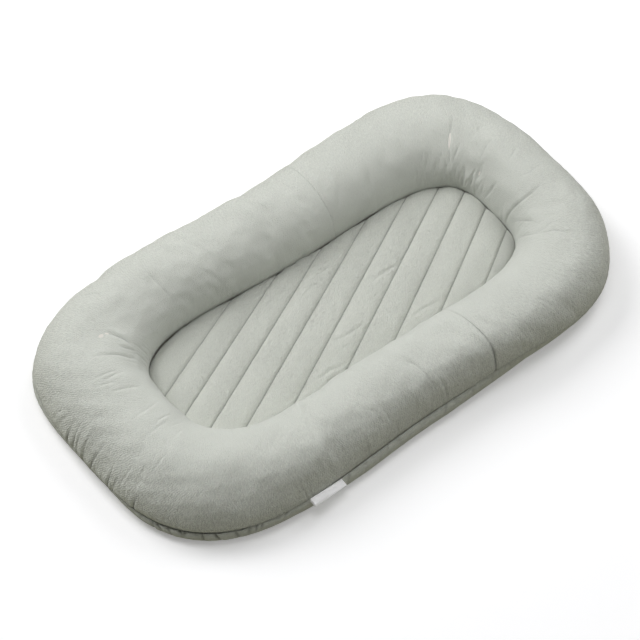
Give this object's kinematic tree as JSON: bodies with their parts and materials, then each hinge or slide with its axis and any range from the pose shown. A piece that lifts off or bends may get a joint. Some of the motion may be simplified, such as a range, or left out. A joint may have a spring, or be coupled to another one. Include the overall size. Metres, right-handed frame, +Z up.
{
  "type": "infant lounger",
  "caption": "Low oblong lounger: a stuffed fabric ring round a quilted pad, in a muslin cover that a zip closes underneath.",
  "frame": {"origin": "on the floor, below the middle of the ring", "axes": "+Z up, +X along the length towards the head end, -Y towards the side with the sewn-in label"},
  "size_m": [0.8595, 0.5028, 0.0956],
  "materials": {
    "muslin": "crinkled sage-grey cotton muslin",
    "quilt_cotton": "sage-grey cotton, quilted",
    "base_cotton": "sage-grey plain cotton",
    "lining": "undyed lining cotton",
    "fibre": "white polyester fibre",
    "zip_tape": "woven polyester tape",
    "zip_plastic": "moulded satin plastic",
    "zip_metal": "plated zinc",
    "satin": "white woven satin"
  },
  "bodies": {
    "lounger": {"ring_cover_head": "muslin", "ring_cover_foot": "muslin", "quilted_pad": "quilt_cotton", "pad_insert": "fibre", "base_cloth_far": "base_cotton", "base_cloth_near": "base_cotton", "ring_casing": "lining", "ring_filling": "fibre", "zip_tape_far": "zip_tape", "zip_tape_near": "zip_tape", "zip_teeth_far": "zip_plastic", "zip_teeth_near": "zip_plastic", "zip_top_stop_far": "zip_metal", "zip_top_stop_near": "zip_metal", "zip_bottom_stop": "zip_metal", "seam_label": "satin"},
    "slider": {"zip_slider": "zip_metal"},
    "pull": {"zip_pull": "zip_metal"}
  },
  "joints": [
    {"name": "zip_slide", "type": "slide", "parent": "lounger", "child": "slider", "axis": [-1, 0, 0], "range_m": [0, 0.449], "deforming": ["zip_teeth_far", "zip_teeth_near"]},
    {"name": "pull_hinge", "type": "hinge", "parent": "slider", "child": "pull", "pos_m": [0.23255, 0, 0.00415], "axis": [0, -1, 0], "range_deg": [0, 170]}
  ]
}
